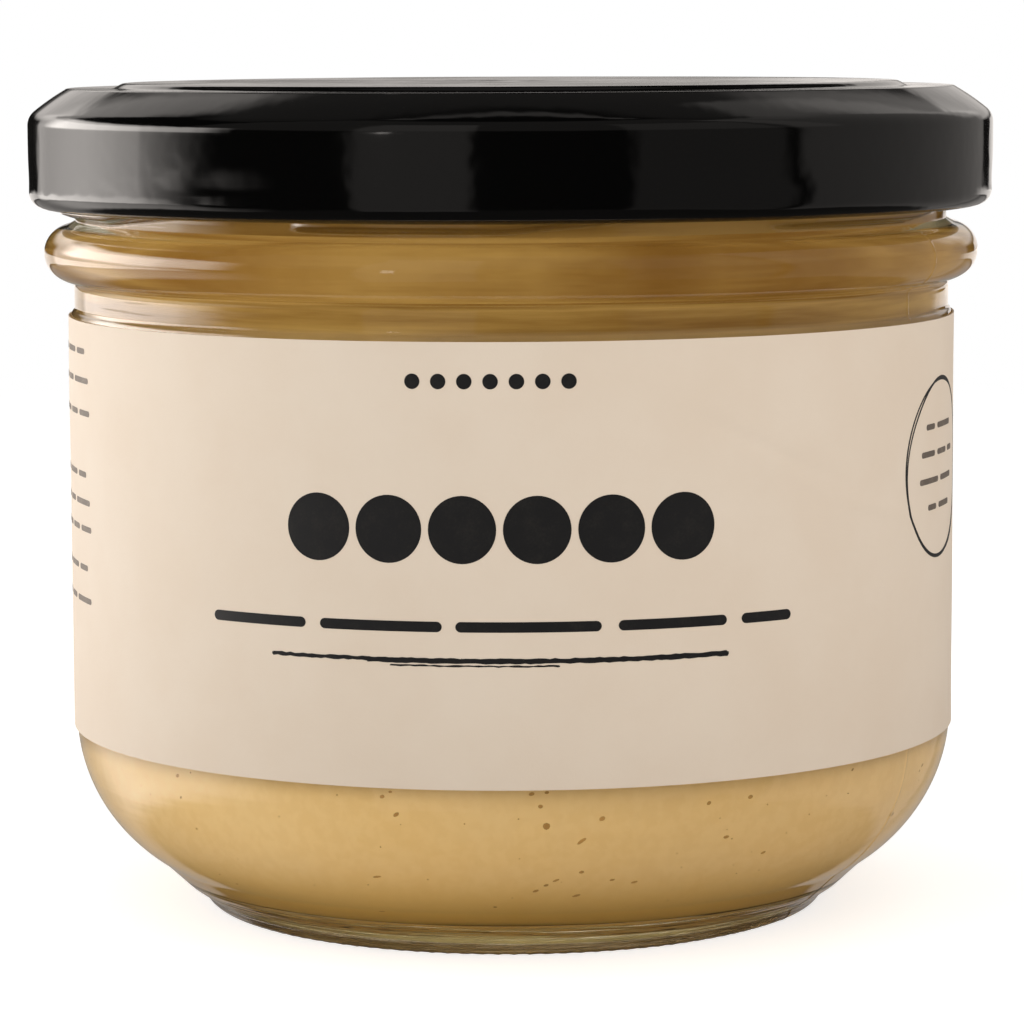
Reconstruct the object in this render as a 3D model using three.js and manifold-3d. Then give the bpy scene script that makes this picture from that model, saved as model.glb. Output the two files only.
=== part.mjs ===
// A shut glass jar of hummus: a squat clear jar with a bowl-shaped foot, the hummus inside it,
// a black twist-off metal lid and a paper label wrapped round the body.
// Millimetres, +Z up. The origin is the centre of the jar's resting ring.
import * as THREE from "three";
import { mergeVertices } from "three/addons/utils/BufferGeometryUtils.js";
import Module from "manifold-3d";

// ---- Driving dimensions -------------------------------------------------------------------

const SIDES = 64; // facets round every turned piece
const TURN = 2 * Math.PI;
const CLEARANCE = 0.3; // gap between solids that touch in the real jar

const LID_RADIUS = 42.3; // outside of the lid's skirt
const LID_TOP = 72.37; // top of the lid's rim above the table
const LID_BOTTOM = 61.8; // lowest point of the rolled edge
const LID_SHEET = 0.55; // thickness of the lid's wall
const LID_CORNER = 1.4; // rounding between the skirt and the sloping shoulder
const CORNER_HEIGHT = 69.32; // centre of that rounding
const SLOPE_END = { radius: 40.1, height: 71.44 }; // hollow between the shoulder and the rim
const RIM_EDGE = { radius: 39.1, height: 72.17 }; // rounded outer edge of the rim
const RIM_OUTER = 38.6; // flat rim round the panel
const CURL_OUTER = 1.45; // rounding of the rolled edge, outside
const CURL_INNER = 0.75; // and inside, towards the glass
const CURL_BORE = 40.1; // free radius inside the rolled edge
const CURL_TOP = 64.2; // where the rolled edge meets the skirt, inside
const PANEL_RADIUS = 33.8; // raised centre panel
const PANEL_STEP = 0.2; // its height over the rim
const PANEL_SLOPE = 0.6; // width of the step up to it

const BODY_RADIUS = 38.8; // outside of the glass under the label
const GROOVE_RADIUS = 38.5; // between the bead and the label
const NECK_RADIUS = 38.3; // between the bead and the threads
const NECK_BORE = 35.3; // inside of the neck
const BODY_BORE = 36.2; // inside of the body
const BODY_TOP = 52.3; // top of the straight wall
const BORE_STEP = { low: 52, high: 54 }; // where the bore narrows into the neck
const GROOVE_BOTTOM = 53; // where the wall has drawn in to the groove
const BEAD_CENTRE = 38.62; // centre of the round bead's section
const BEAD_HEIGHT = 57.85;
const BEAD_ROUND = 2.45; // its section radius
const LIP_TOP = 71.6; // sealing lip
const LIP_ROUND = { outer: 1.2, inner: 0.9 }; // its two edges

const BOWL_ROUND = 14.85; // arc between the wall and the foot, outside
const BOWL_TOP = 17.1; // where the straight wall starts
const BOWL_SWEEP = 57.7; // degrees of arc before the straight flank
const BOWL_BORE_ROUND = 13.2; // the same arc inside
const FLOOR = 3.6; // inside floor above the table
const HEEL = { radius: 29.47, height: 2.3 }; // kink where the flank meets the foot
const FOOT_ROUND = 1.65; // rounding of the foot's edge
const FOOT_OUTER = 26.2; // flat resting ring, outer
const FOOT_INNER = 23.2; // and inner radius
const PUSH_UP = 1.5; // height of the hollow under the floor

const THREAD = {
  count: 6,
  first: -27, // degrees round from the front to the first low end
  start: 61.95, // height of the low end's centre
  level: 26, // degrees that run level before the climb
  sweep: 62, // degrees covered by one thread
  rise: 2.1, // climb over the rest of the sweep
  depth: 1.4, // how far the crest stands out of the neck
  root: 1.35, // half height where it is sunk in the neck
  crest: 0.45, // half height at the crest
  sunk: 0.5, // how deep its root goes into the glass
  taper: 7, // degrees of run-out at each end
  stations: 16, // sections along one thread
};

const FILL_TOP = 68.6; // level of the hummus, just under the lid
const FILL_EDGE = 0.8; // rounding of its upper edge

const LABEL_BOTTOM = 16.25;
const LABEL_TOP = 52.4;
const LABEL_BORE = 38.87;
const LABEL_THICKNESS = 0.15;
const LABEL_LAP = 16; // degrees of double paper at the back

const MATERIALS = {
  glass: new THREE.MeshStandardMaterial({
    color: 0xdfe6dc,
    roughness: 0.04,
    metalness: 0,
    transparent: true,
    opacity: 0.35,
  }),
  lacquer: new THREE.MeshStandardMaterial({ color: 0x0a0a0a, roughness: 0.18, metalness: 0.3 }),
  hummus: new THREE.MeshStandardMaterial({ color: 0xcba35a, roughness: 0.6, metalness: 0 }),
  paper: new THREE.MeshStandardMaterial({ color: 0xe5d5c3, roughness: 0.8, metalness: 0 }),
};

// ---- Helpers ------------------------------------------------------------------------------

const radians = THREE.MathUtils.degToRad;
const point = (radius, height) => new THREE.Vector2(radius, height);

// Points of a circular arc in a turned section, from one angle to another, in degrees.
function arc(radius, height, round, from, to, steps) {
  return Array.from({ length: steps + 1 }, (_, i) => {
    const angle = radians(from + ((to - from) * i) / steps);
    return point(radius + round * Math.cos(angle), height + round * Math.sin(angle));
  });
}

// A section turned round the +Z axis.
function turned(section) {
  return new THREE.LatheGeometry(section, SIDES).rotateX(Math.PI / 2);
}

// The place at an angle round from the front, seen from above.
function around(degrees, radius, height) {
  const angle = radians(degrees);
  return new THREE.Vector3(radius * Math.sin(angle), -radius * Math.cos(angle), height);
}

// A bar with the given ring of points at each station, closed at both ends.
function bar(rings) {
  const size = rings[0].length;
  const index = [];
  for (let i = 0; i + 1 < rings.length; i += 1) {
    for (let k = 0; k < size; k += 1) {
      const [a, b] = [i * size + k, i * size + ((k + 1) % size)];
      index.push(a, b + size, b, a, a + size, b + size);
    }
  }
  const last = (rings.length - 1) * size;
  for (let k = 1; k + 1 < size; k += 1) {
    index.push(0, k, k + 1, last, last + k + 1, last + k);
  }
  const geometry = new THREE.BufferGeometry().setFromPoints(rings.flat());
  geometry.setIndex(index);
  return geometry;
}

const wasm = await Module();
wasm.setup();

// A closed geometry as a manifold-3d solid, without the flat faces that a turned axis leaves.
function solid(geometry) {
  const bare = new THREE.BufferGeometry();
  bare.setAttribute("position", geometry.getAttribute("position"));
  bare.setIndex(geometry.index);
  const merged = mergeVertices(bare, 1e-4);
  const corners = merged.index.array;
  const faces = [];
  for (let i = 0; i < corners.length; i += 3) {
    const [a, b, c] = corners.slice(i, i + 3);
    if (a !== b && b !== c && c !== a) {
      faces.push(a, b, c);
    }
  }
  return new wasm.Manifold(
    new wasm.Mesh({
      numProp: 3,
      vertProperties: merged.getAttribute("position").array,
      triVerts: new Uint32Array(faces),
    }),
  );
}

// The faces of a manifold-3d solid as a three.js geometry.
function geometryOf(body) {
  const { vertProperties, triVerts } = body.getMesh();
  const geometry = new THREE.BufferGeometry();
  geometry.setAttribute("position", new THREE.BufferAttribute(vertProperties, 3));
  geometry.setIndex(new THREE.BufferAttribute(triVerts, 1));
  geometry.computeVertexNormals();
  return geometry;
}

// ---- Glass jar ----------------------------------------------------------------------------

// Inside of the jar, from the neck down to the middle of the floor, drawn in by a gap.
function boreSection(gap, top) {
  const centre = BODY_BORE - BOWL_BORE_ROUND;
  return [
    point(NECK_BORE - gap, top),
    point(NECK_BORE - gap, BORE_STEP.high),
    point(BODY_BORE - gap, BORE_STEP.low),
    ...arc(centre, FLOOR + BOWL_BORE_ROUND, BOWL_BORE_ROUND - gap, 0, -90, 8),
    point(0, FLOOR + gap),
  ];
}

function jarSection() {
  const { outer, inner } = LIP_ROUND;
  const bowlCentre = BODY_RADIUS - BOWL_ROUND;
  return [
    point(0, PUSH_UP),
    point(FOOT_INNER * 0.5, PUSH_UP * 0.75),
    point(FOOT_INNER, 0),
    ...arc(FOOT_OUTER, FOOT_ROUND, FOOT_ROUND, -90, -20, 3),
    point(HEEL.radius, HEEL.height),
    ...arc(bowlCentre, BOWL_TOP, BOWL_ROUND, -BOWL_SWEEP, 0, 7),
    point(BODY_RADIUS, BODY_TOP),
    point(GROOVE_RADIUS, GROOVE_BOTTOM),
    ...arc(BEAD_CENTRE, BEAD_HEIGHT, BEAD_ROUND, -85, 78, 9),
    point(NECK_RADIUS, BEAD_HEIGHT + BEAD_ROUND + CLEARANCE),
    ...arc(NECK_RADIUS - outer, LIP_TOP - outer, outer, 0, 90, 3),
    ...arc(NECK_BORE + inner, LIP_TOP - inner, inner, 90, 180, 3),
    ...boreSection(0, BORE_STEP.high + 1),
  ];
}

// One thread: level at its low end, then climbing, with both ends sunk back into the neck.
function threadLug(first) {
  const { sweep, stations, taper, level, rise, start, depth, root, crest, sunk } = THREAD;
  const rings = Array.from({ length: stations + 1 }, (_, i) => {
    const turn = (sweep * i) / stations;
    const full = Math.min(1, Math.min(turn, sweep - turn) / taper);
    const climb = Math.max(0, turn - level) / (sweep - level);
    const height = start + rise * climb;
    const inner = NECK_RADIUS - sunk - 0.3;
    const outer = NECK_RADIUS - sunk + (depth + sunk) * full;
    const size = 0.35 + 0.65 * full;
    return [
      [inner, -root * size],
      [outer, -crest * size],
      [outer, crest * size],
      [inner, root * size],
    ].map(([radius, offset]) => around(first + turn, radius, height + offset));
  });
  return bar(rings);
}

function jarGeometry() {
  let jar = solid(turned(jarSection()));
  for (let i = 0; i < THREAD.count; i += 1) {
    jar = jar.add(solid(threadLug(THREAD.first + (360 / THREAD.count) * i)));
  }
  return geometryOf(jar);
}

// ---- Twist-off lid ------------------------------------------------------------------------

// Outside of the lid's top, from the skirt's corner in to the middle of the panel.
function lidTopSection() {
  return [
    ...arc(LID_RADIUS - LID_CORNER, CORNER_HEIGHT, LID_CORNER, 0, 58, 4),
    point(SLOPE_END.radius, SLOPE_END.height),
    point(RIM_EDGE.radius, RIM_EDGE.height),
    point(RIM_OUTER, LID_TOP),
    point(PANEL_RADIUS + PANEL_SLOPE, LID_TOP),
    point(PANEL_RADIUS, LID_TOP + PANEL_STEP),
    point(0, LID_TOP + PANEL_STEP),
  ];
}

function lidSection() {
  const underside = LIP_TOP + CLEARANCE;
  const skirtBore = LID_RADIUS - LID_SHEET;
  const curlOuter = LID_RADIUS - CURL_OUTER;
  const curlInner = CURL_BORE + CURL_INNER;
  return [
    point(0, underside + PANEL_STEP),
    point(PANEL_RADIUS, underside + PANEL_STEP),
    point(PANEL_RADIUS + PANEL_SLOPE, underside),
    point(RIM_OUTER, underside),
    point(SLOPE_END.radius - LID_SHEET / 2, SLOPE_END.height - LID_SHEET),
    point(LID_RADIUS - LID_CORNER, CORNER_HEIGHT + LID_CORNER - LID_SHEET),
    point(skirtBore, CORNER_HEIGHT),
    point(skirtBore, CURL_TOP),
    point(curlInner, CURL_TOP),
    point(CURL_BORE, LID_BOTTOM + 2 * CURL_INNER),
    ...arc(curlInner, LID_BOTTOM + CURL_INNER, CURL_INNER, 180, 270, 3),
    ...arc(curlOuter, LID_BOTTOM + CURL_OUTER, CURL_OUTER, -85, 0, 5),
    ...lidTopSection(),
  ];
}

// ---- Hummus -------------------------------------------------------------------------------

function hummusSection() {
  const top = boreSection(CLEARANCE, FILL_TOP - FILL_EDGE);
  const edge = NECK_BORE - CLEARANCE - FILL_EDGE;
  return [
    ...top.reverse(),
    ...arc(edge, FILL_TOP - FILL_EDGE, FILL_EDGE, 30, 90, 2),
    point(0, FILL_TOP),
  ];
}

// ---- Paper label --------------------------------------------------------------------------

// A band round the body whose two ends lap over each other at the back.
function labelGeometry() {
  const outer = LABEL_BORE + LABEL_THICKNESS;
  const ring = (radiusAt) =>
    Array.from({ length: SIDES }, (_, i) => {
      const angle = (TURN * i) / SIDES;
      const radius = radiusAt(angle);
      return point(radius * Math.cos(angle), radius * Math.sin(angle));
    });
  const back = Math.PI / 2;
  const lapped = (angle) => Math.abs(angle - back) < radians(LABEL_LAP / 2);
  const outline = new THREE.Shape(
    ring((angle) => (lapped(angle) ? outer + LABEL_THICKNESS : outer)),
  );
  outline.holes.push(new THREE.Path(ring(() => LABEL_BORE).reverse()));
  const depth = LABEL_TOP - LABEL_BOTTOM;
  return new THREE.ExtrudeGeometry(outline, { depth, bevelEnabled: false });
}

// ---- The object ---------------------------------------------------------------------------

function piece(name, geometry, material, height = 0) {
  const mesh = new THREE.Mesh(geometry, material);
  mesh.name = name;
  mesh.position.z = height;
  return mesh;
}

const jarOfHummus = new THREE.Group();
jarOfHummus.add(
  piece("glass_jar", jarGeometry(), MATERIALS.glass),
  piece("lid", turned(lidSection()), MATERIALS.lacquer),
  piece("hummus", turned(hummusSection()), MATERIALS.hummus),
  piece("paper_label", labelGeometry(), MATERIALS.paper, LABEL_BOTTOM),
);

export default jarOfHummus;
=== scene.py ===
"""Looks of a shut glass jar of hummus: clear jar, paste, black twist-off lid and paper label.

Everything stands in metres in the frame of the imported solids, +Z up along the jar's axis, with
the front of the label towards -Y. Sizes are held in millimetres and angles round the jar in
degrees from the front, positive towards +X.
"""

import logging
import math
from collections.abc import Callable, Sequence
from dataclasses import dataclass, field
from enum import Enum
from functools import partial

import bpy
import numpy as np
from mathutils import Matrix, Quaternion, Vector


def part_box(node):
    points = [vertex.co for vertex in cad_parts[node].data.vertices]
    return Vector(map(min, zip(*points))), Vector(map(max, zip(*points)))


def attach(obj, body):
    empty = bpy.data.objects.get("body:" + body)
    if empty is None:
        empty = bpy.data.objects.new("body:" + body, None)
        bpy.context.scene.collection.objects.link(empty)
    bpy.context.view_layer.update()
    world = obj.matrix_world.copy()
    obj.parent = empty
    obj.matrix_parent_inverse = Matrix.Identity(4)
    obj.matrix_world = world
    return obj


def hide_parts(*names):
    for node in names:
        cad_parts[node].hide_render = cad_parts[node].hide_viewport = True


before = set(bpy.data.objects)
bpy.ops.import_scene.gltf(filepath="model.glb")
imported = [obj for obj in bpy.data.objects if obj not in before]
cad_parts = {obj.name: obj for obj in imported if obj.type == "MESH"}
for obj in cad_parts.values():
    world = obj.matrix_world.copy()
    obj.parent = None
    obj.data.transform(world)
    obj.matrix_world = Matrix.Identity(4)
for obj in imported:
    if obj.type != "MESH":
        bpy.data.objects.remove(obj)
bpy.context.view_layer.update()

MM = 0.001
BODY = "root"
WHITE = (1.0, 1.0, 1.0)
log = logging.getLogger("jar_of_hummus")

Array = np.ndarray
Point = tuple[float, float]
Section = list[Point]
Colour = tuple[float, float, float]
Shape = Callable[[Array, Array, Array], tuple[Array, Array]]
Item = bpy.types.Object
Wire = bpy.types.NodeSocket


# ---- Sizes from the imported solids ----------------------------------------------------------


def reach(node: str) -> float:
    """Largest radius of a turned node, in millimetres."""
    low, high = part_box(node)
    return (high.x - low.x) / 2 / MM


def bottom(node: str) -> float:
    """Lowest height of a node, in millimetres."""
    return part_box(node)[0].z / MM


def top(node: str) -> float:
    """Highest height of a node, in millimetres."""
    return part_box(node)[1].z / MM


# ---- Sections and turned meshes ------------------------------------------------------------


def arc(radius: float, height: float, bend: float, start: float, end: float, steps: int) -> Section:
    """Points of a circular arc in a section.

    Args:
        radius: distance of its centre from the jar's axis.
        height: height of its centre.
        bend: its own radius.
        start: first angle in degrees, 0 pointing outwards and 90 upwards.
        end: last angle.
        steps: number of pieces.

    Returns:
        The points in order.
    """
    angles = np.radians(np.linspace(start, end, steps + 1))
    return [(radius + bend * math.cos(a), height + bend * math.sin(a)) for a in angles]


def run(start: Point, end: Point, step: float) -> Section:
    """Evenly spaced points of a straight stretch, both ends included.

    Args:
        start: first point.
        end: last point.
        step: longest distance between two points.

    Returns:
        The points in order.
    """
    count = max(1, math.ceil(math.dist(start, end) / step))
    wide, tall = end[0] - start[0], end[1] - start[1]
    return [(start[0] + wide * i / count, start[1] + tall * i / count) for i in range(count + 1)]


def without_doubles(section: Section) -> Section:
    """A section without points that coincide with the one before.

    Args:
        section: the points in order.

    Returns:
        The points that are kept.
    """
    kept = [section[0]]
    for place in section[1:]:
        if math.dist(place, kept[-1]) > 1e-4:
            kept.append(place)
    return kept


def smooth_step(value: Array, low: float, high: float) -> Array:
    """Rises smoothly from 0 at low to 1 at high."""
    t = np.clip((value - low) / (high - low), 0.0, 1.0)
    return t * t * (3.0 - 2.0 * t)


def bump_at(value: Array, centre: float, width: float) -> Array:
    """A bell of height 1 at centre that has fallen to 0.37 at width from it."""
    return np.exp(-(((value - centre) / width) ** 2))


def turn_between(angle: Array, centre: float) -> Array:
    """Angles counted from a centre angle, from -180 to 180 degrees."""
    return (angle - centre + 180.0) % 360.0 - 180.0


def azimuths(count: int, finer_at: Sequence[float] = (), width: float = 0.5) -> Array:
    """Angles of the mesh columns round the jar, closer together near thin upright features.

    Args:
        count: number of evenly spaced columns.
        finer_at: angles of the features, in degrees.
        width: half width of the band of extra columns.

    Returns:
        Rising angles in degrees, from -180 up to under 180.
    """
    even = np.linspace(-180.0, 180.0, count, endpoint=False)
    shares = (-1, -0.5, -0.25, 0, 0.25, 0.5, 1)
    extra = [centre + width * share for centre in finer_at for share in shares]
    clear = [a for a in even if all(abs(a - e) > width * 0.2 for e in extra)]
    return np.array(sorted(clear + extra))


@dataclass
class Waves:
    """Soft unevenness of a turned surface: seeded waves that close round the jar.

    Attributes:
        seed: start of the random draw.
        height: size of the unevenness, in millimetres.
        turns: largest number of waves round the jar.
        rise: shortest wave along the axis, in millimetres.
        count: number of waves added up.
    """

    seed: int
    height: float
    turns: int
    rise: float
    count: int = 24

    def at(self, angle: Array, height: Array) -> Array:
        """Unevenness at each place.

        Args:
            angle: angles round the jar.
            height: heights.

        Returns:
            Offsets in millimetres.
        """
        draw = np.random.default_rng(self.seed)
        total = np.zeros(np.broadcast(angle, height).shape)
        for _ in range(self.count):
            turns = draw.integers(1, self.turns + 1)
            climb = draw.uniform(-1.0, 1.0) * 2 * math.pi / self.rise
            phase = draw.uniform(0, 2 * math.pi)
            total = total + np.cos(np.radians(angle) * turns + climb * height + phase)
        return total * self.height / math.sqrt(self.count)


def mesh_object(
    name: str, points: Array, faces: list[tuple[int, ...]], sharp: float = 180.0
) -> Item:
    """A smooth-shaded mesh object.

    Args:
        name: name of the object and its mesh.
        points: corner places in millimetres, one row each.
        faces: corner numbers of each face.
        sharp: edges that turn by more than this many degrees stay sharp.

    Returns:
        The object, linked to the scene.
    """
    mesh = bpy.data.meshes.new(name)
    mesh.from_pydata((points * MM).tolist(), [], faces)
    mesh.validate()
    mesh.shade_smooth()
    mesh.set_sharp_from_angle(angle=math.radians(sharp))
    made = bpy.data.objects.new(name, mesh)
    bpy.context.scene.collection.objects.link(made)
    return made


@dataclass
class Turning:
    """A body turned round the jar's axis, with its surface pushed about by a function.

    Its section runs counter-clockwise, from the axis to the axis or, if closed, back to its start.
    The shape changes the radius and height at each angle, and edges that turn by more than sharp
    degrees stay sharp.
    """

    name: str
    section: Section
    columns: Array
    closed: bool = False
    shape: Shape | None = None
    sharp: float = 50.0

    def build(self) -> Item:
        """Makes the mesh.

        Returns:
            The new object.
        """
        section = without_doubles(self.section)
        rim = section if self.closed else section[1:-1]
        radius, height = (np.array(values)[:, None] for values in zip(*rim))
        radius, height, angle = np.broadcast_arrays(radius, height, self.columns[None, :])
        if self.shape:
            radius, height = self.shape(angle, radius, height)
        around = np.radians(angle)
        places = np.stack([radius * np.sin(around), -radius * np.cos(around), height], axis=-1)
        points = places.reshape(-1, 3)
        rows, wide = len(rim), len(self.columns)
        pairs = [(k, (k + 1) % wide) for k in range(wide)]
        faces = []
        for row in range(rows if self.closed else rows - 1):
            low, high = row * wide, (row + 1) % rows * wide
            faces += [(low + k, low + after, high + after, high + k) for k, after in pairs]
        if not self.closed:
            first, last, crown = len(points), len(points) + 1, (rows - 1) * wide
            points = np.vstack([points, [[0, 0, section[0][1]], [0, 0, section[-1][1]]]])
            for k, after in pairs:
                faces += [(first, after, k), (last, crown + k, crown + after)]
        return mesh_object(self.name, points, faces, self.sharp)


# ---- Node trees ----------------------------------------------------------------------------


class Graph:
    """Short calls that build a node tree."""

    def __init__(self, tree: bpy.types.NodeTree) -> None:
        """Starts on a tree that nodes are added to."""
        self.tree = tree

    def add(self, kind: str, inputs: dict | None = None, **settings: object) -> bpy.types.Node:
        """Adds a node.

        Args:
            kind: its type, without the ShaderNode in front.
            inputs: sockets by name or number, each a value or a socket to link from.
            settings: attributes of the node.

        Returns:
            The node.
        """
        node = self.tree.nodes.new("ShaderNode" + kind)
        for name, value in settings.items():
            setattr(node, name, value)
        for name, value in (inputs or {}).items():
            self.feed(node.inputs[name], value)
        return node

    def feed(self, socket: Wire, value: object) -> None:
        """Links a socket or sets its value.

        Args:
            socket: the input.
            value: a socket to link from, a number, or a colour, which gets full alpha.
        """
        if isinstance(value, Wire):
            self.tree.links.new(value, socket)
        else:
            socket.default_value = (*value, 1.0) if isinstance(value, tuple) else value

    def shade(self, **values: object) -> None:
        """Feeds the Principled shader's sockets, named with _ for a space."""
        for name, value in values.items():
            self.feed(self.tree.nodes["Principled BSDF"].inputs[name.replace("_", " ")], value)

    def math(self, operation: str, *values: object) -> Wire:
        """The result of a Math node on numbers or sockets, in order."""
        return self.add("Math", dict(enumerate(values)), operation=operation).outputs[0]

    def times(self, *values: object) -> Wire:
        """The product of two values."""
        return self.math("MULTIPLY", *values)

    def plus(self, *values: object) -> Wire:
        """The sum of two values."""
        return self.math("ADD", *values)

    def mix(self, share: object, low: object, high: object) -> Wire:
        """A colour between two colours.

        Args:
            share: 0 for the first colour, 1 for the second.
            low: the first colour.
            high: the second colour.

        Returns:
            The mixed colour.
        """
        node = self.add("Mix", data_type="RGBA")
        sockets = {s.identifier: s for s in node.inputs}
        for name, value in (("Factor_Float", share), ("A_Color", low), ("B_Color", high)):
            self.feed(sockets[name], value)
        return next(s for s in node.outputs if s.identifier == "Result_Color")

    def span(
        self, value: object, low: object, high: object, start: float = 0.0, end: float = 1.0
    ) -> Wire:
        """Maps a range of values to another, smoothly at both ends.

        Args:
            value: the value to map.
            low: start of its range.
            high: end of its range.
            start: what the start becomes.
            end: what the end becomes.

        Returns:
            The mapped value.
        """
        inputs = {"Value": value, "From Min": low, "From Max": high, "To Min": start, "To Max": end}
        return self.add("MapRange", inputs, interpolation_type="SMOOTHSTEP").outputs[0]

    def window(self, value: Wire, low: float, high: float, soft: float) -> Wire:
        """A mask that is 1 between two values, with sides as wide as soft."""
        rising = self.span(value, low - soft / 2, low + soft / 2)
        return self.times(rising, self.span(value, high - soft / 2, high + soft / 2, 1.0, 0.0))

    def bump(self, strength: float, distance: float, height: Wire) -> Wire:
        """The normal of a relief whose full height is the distance, in metres."""
        inputs = {"Strength": strength, "Distance": distance, "Height": height}
        return self.add("Bump", inputs).outputs[0]

    def place(self) -> Wire:
        """The shaded point in the object's own coordinates."""
        return self.add("TexCoord").outputs["Object"]

    def level(self) -> Wire:
        """Height above the table at the shaded point, in metres."""
        return self.add("SeparateXYZ", {0: self.place()}).outputs["Z"]


Given = dict[str, Wire]


class Effect(Enum):
    """The shared surface effects, each built once as a node group."""

    MOTTLE = "uneven_tone"
    GRAIN = "fine_grain"
    STRIAE = "drawn_striae"
    DUST = "loose_dust"


def squeezed(graph: Graph, place: Wire, share: Wire) -> Wire:
    """Coordinates in which a pattern lies flat, longer than high by the share."""
    flat = graph.add("CombineXYZ", {"X": 1.0, "Y": 1.0, "Z": share}).outputs[0]
    return graph.add("VectorMath", {0: place, 1: flat}, operation="MULTIPLY").outputs[0]


def mottle(graph: Graph, place: Wire, given: Given) -> Wire:
    """Cloudy unevenness from 0 to 1, stretched along the turn by Flatness.

    Args:
        graph: the group's graph.
        place: the object's coordinates.
        given: the group's input sockets.

    Returns:
        The tone.
    """
    spot = squeezed(graph, place, given["Flatness"])
    inputs = {"Vector": spot, "Scale": given["Scale"], "Detail": given["Detail"], "Roughness": 0.55}
    cloud = graph.add("TexNoise", inputs).outputs[0]
    low = graph.math("SUBTRACT", 0.5, given["Spread"])
    return graph.span(cloud, low, graph.plus(0.5, given["Spread"]))


def grain(graph: Graph, place: Wire, given: Given) -> Wire:
    """Fine relief from two sizes of noise, from 0 to 1.

    Args:
        graph: the group's graph.
        place: the object's coordinates.
        given: the group's input sockets.

    Returns:
        The height.
    """
    sizes = ((given["Scale"], 3.0), (graph.times(given["Scale"], given["Coarse share"]), 2.0))
    fine, coarse = (
        graph.add("TexNoise", {"Vector": place, "Scale": scale, "Detail": detail}).outputs[0]
        for scale, detail in sizes
    )
    return graph.times(graph.plus(fine, coarse), 0.5)


def striae(graph: Graph, place: Wire, given: Given) -> Wire:
    """Long level ripples, as pressed glass has.

    Args:
        graph: the group's graph.
        place: the object's coordinates.
        given: the group's input sockets.

    Returns:
        The height.
    """
    spot = squeezed(graph, place, given["Length over height"])
    inputs = {"Vector": spot, "Scale": given["Scale"], "Detail": 2.0, "Distortion": given["Waver"]}
    return graph.add("TexNoise", inputs).outputs[0]


def dust(graph: Graph, place: Wire, given: Given) -> Wire:
    """A mask of few tiny scattered specks.

    Args:
        graph: the group's graph.
        place: the object's coordinates.
        given: the group's input sockets.

    Returns:
        The mask.
    """
    cells = graph.add("TexVoronoi", {"Vector": place, "Scale": given["Scale"], "Randomness": 1.0})
    speck = graph.math("LESS_THAN", cells.outputs["Distance"], given["Size"])
    tone = graph.add("SeparateColor", {0: cells.outputs["Color"]}).outputs[0]
    return graph.times(speck, graph.math("LESS_THAN", tone, given["Amount"]))


@dataclass(frozen=True)
class EffectPlan:
    """What a shared effect takes in and how it is worked out.

    Attributes:
        inputs: its named values and what they are when not set.
        output: name of the value that it gives.
        rule: builds it from the object's coordinates and its input sockets.
    """

    inputs: dict[str, float]
    output: str
    rule: Callable[[Graph, Wire, Given], Wire]


PLANS: dict[Effect, EffectPlan] = {
    Effect.MOTTLE: EffectPlan(
        {"Scale": 60.0, "Detail": 3.0, "Flatness": 1.0, "Spread": 0.2}, "Tone", mottle
    ),
    Effect.GRAIN: EffectPlan({"Scale": 2000.0, "Coarse share": 0.2}, "Height", grain),
    Effect.STRIAE: EffectPlan(
        {"Scale": 60.0, "Length over height": 14.0, "Waver": 0.2}, "Height", striae
    ),
    Effect.DUST: EffectPlan({"Scale": 400.0, "Size": 0.1, "Amount": 0.02}, "Mask", dust),
}


class Effects:
    """Builds each shared effect once and places it in materials."""

    def __init__(self) -> None:
        """Starts with no group built."""
        self.built: dict[Effect, bpy.types.NodeTree] = {}

    def tree(self, effect: Effect) -> bpy.types.NodeTree:
        """The node group of an effect, built on first use.

        Args:
            effect: which effect.

        Returns:
            Its node group.
        """
        if effect in self.built:
            return self.built[effect]
        plan = PLANS[effect]
        tree = bpy.data.node_groups.new(effect.value, "ShaderNodeTree")
        for name, value in plan.inputs.items():
            made = tree.interface.new_socket(name, in_out="INPUT", socket_type="NodeSocketFloat")
            made.default_value = value
        tree.interface.new_socket(plan.output, in_out="OUTPUT", socket_type="NodeSocketFloat")
        graph = Graph(tree)
        entry = tree.nodes.new("NodeGroupInput")
        leave = tree.nodes.new("NodeGroupOutput")
        given = {name: entry.outputs[name] for name in plan.inputs}
        tree.links.new(plan.rule(graph, graph.place(), given), leave.inputs[0])
        self.built[effect] = tree
        return tree

    def place(self, graph: Graph, effect: Effect, **values: float) -> Wire:
        """Places an effect in a material.

        Args:
            graph: the material's graph.
            effect: which effect.
            values: its named values, with _ for a space.

        Returns:
            What it gives.
        """
        node = graph.tree.nodes.new("ShaderNodeGroup")
        node.node_tree = self.tree(effect)
        for name, value in values.items():
            node.inputs[name.replace("_", " ")].default_value = value
        return node.outputs[0]


EFFECTS = Effects()


# ---- Finishes ------------------------------------------------------------------------------


def new_material(name: str) -> tuple[bpy.types.Material, Graph]:
    """A material with a Principled shader on its output.

    Args:
        name: name of the material.

    Returns:
        The material and its graph.
    """
    material = bpy.data.materials.new(name)
    material.use_nodes = True
    return material, Graph(material.node_tree)


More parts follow.
